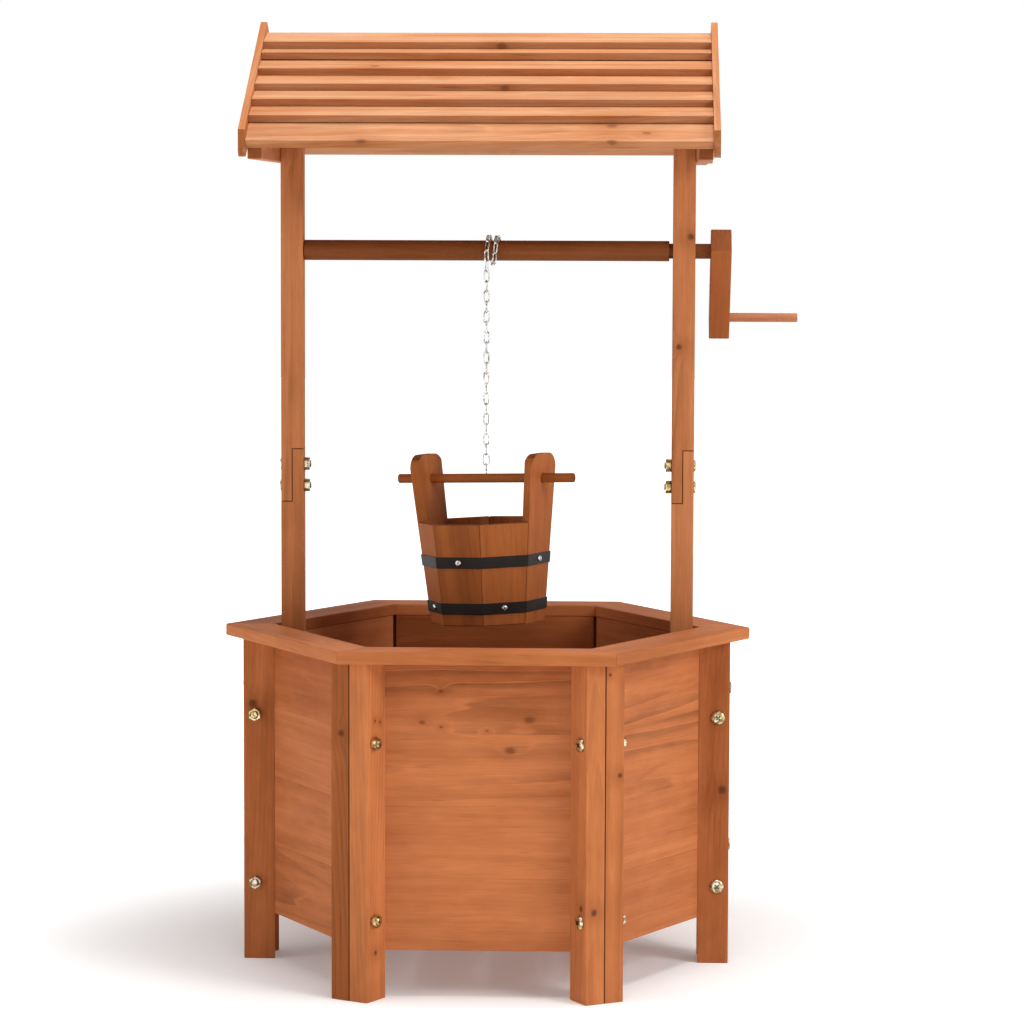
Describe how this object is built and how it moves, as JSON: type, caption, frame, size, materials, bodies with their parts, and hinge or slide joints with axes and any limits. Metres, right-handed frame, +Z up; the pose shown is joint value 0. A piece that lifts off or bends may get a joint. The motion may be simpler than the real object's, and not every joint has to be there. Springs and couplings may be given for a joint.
{
  "type": "wishing well planter",
  "caption": "Six-sided wooden planter tub made as a wishing well, with a gabled roof on posts and a bucket that a crank windlass raises on a chain.",
  "frame": {"origin": "on the ground, under the middle of the overall box; the tub's own axis stands 26.5 mm to its left, because the crank handle reaches out on the right", "axes": "+Z up; -Y is the front; +X points right, towards the crank, along the roller and the roof's ridge"},
  "size_m": [0.643, 0.511, 1.0517],
  "materials": {
    "frame_wood": "semi-matt stain, knots and grain",
    "roof_wood": "semi-matt light stain",
    "roller_wood": "semi-matt dark stain",
    "bucket_wood": "semi-matt stain",
    "hoop_iron": "satin black paint",
    "zinc": "bright zinc plate"
  },
  "bodies": {
    "frame": {"leg_right": "frame_wood", "leg_back_right": "frame_wood", "leg_back_left": "frame_wood", "leg_left": "frame_wood", "leg_front_left": "frame_wood", "leg_front_right": "frame_wood", "panel_right_back": "frame_wood", "panel_back": "frame_wood", "panel_left_back": "frame_wood", "panel_left_front": "frame_wood", "panel_front": "frame_wood", "panel_right_front": "frame_wood", "rim_right_back": "frame_wood", "rim_back": "frame_wood", "rim_left_back": "frame_wood", "rim_left_front": "frame_wood", "rim_front": "frame_wood", "rim_right_front": "frame_wood", "floor_boards": "frame_wood", "floor_cleats": "frame_wood", "lower_post_left": "frame_wood", "upper_post_left": "frame_wood", "tie_left": "frame_wood", "lower_post_right": "frame_wood", "upper_post_right": "frame_wood", "tie_right": "frame_wood", "rafter_front_left": "frame_wood", "barge_board_front_left": "roof_wood", "rafter_back_left": "frame_wood", "barge_board_back_left": "roof_wood", "rafter_front_right": "frame_wood", "barge_board_front_right": "roof_wood", "rafter_back_right": "frame_wood", "barge_board_back_right": "roof_wood", "roof_boards_front": "roof_wood", "roof_boards_back": "roof_wood", "corner_bolts": "zinc", "post_bolts": "zinc", "lap_bolts": "zinc", "hex_nuts": "zinc"},
    "windlass": {"roller": "roller_wood", "crank_arm": "roller_wood", "crank_handle": "roller_wood", "chain_turns": "zinc"},
    "chain": {"hanging_chain": "zinc"},
    "hanger": {"bucket_dowel": "roller_wood", "dowel_eye": "zinc"},
    "bucket": {"bucket_ear_right": "bucket_wood", "bucket_ear_left": "bucket_wood", "bucket_stave_1": "bucket_wood", "bucket_stave_2": "bucket_wood", "bucket_stave_3": "bucket_wood", "bucket_stave_5": "bucket_wood", "bucket_stave_6": "bucket_wood", "bucket_stave_7": "bucket_wood", "bucket_floor": "bucket_wood", "hoop_lower": "hoop_iron", "hoop_upper": "hoop_iron", "hoop_screws": "zinc"}
  },
  "joints": [
    {"name": "crank_turn", "type": "hinge", "parent": "frame", "child": "windlass", "pos_m": [-0.02652, 0, 0.799], "axis": [1, 0, 0], "range_deg": [-390, 600]},
    {"name": "bucket_lift", "type": "slide", "parent": "frame", "child": "chain", "axis": [0, 0, 1], "range_m": [-0.1558, 0.1015], "deforming": ["hanging_chain"]},
    {"name": "bucket_spin", "type": "hinge", "parent": "chain", "child": "hanger", "pos_m": [-0.02752, -0.0152, 0.561], "axis": [0, 0, 1], "range_deg": [-180, 180]},
    {"name": "bucket_tip", "type": "hinge", "parent": "hanger", "child": "bucket", "pos_m": [-0.02694, -0.01546, 0.54551], "axis": [0.9092, -0.4144, 0.0405], "range_deg": [-115, 115]}
  ],
  "couplings": [
    {"joint": "bucket_lift", "follows": "crank_turn", "m_per_rad": -0.014834}
  ]
}
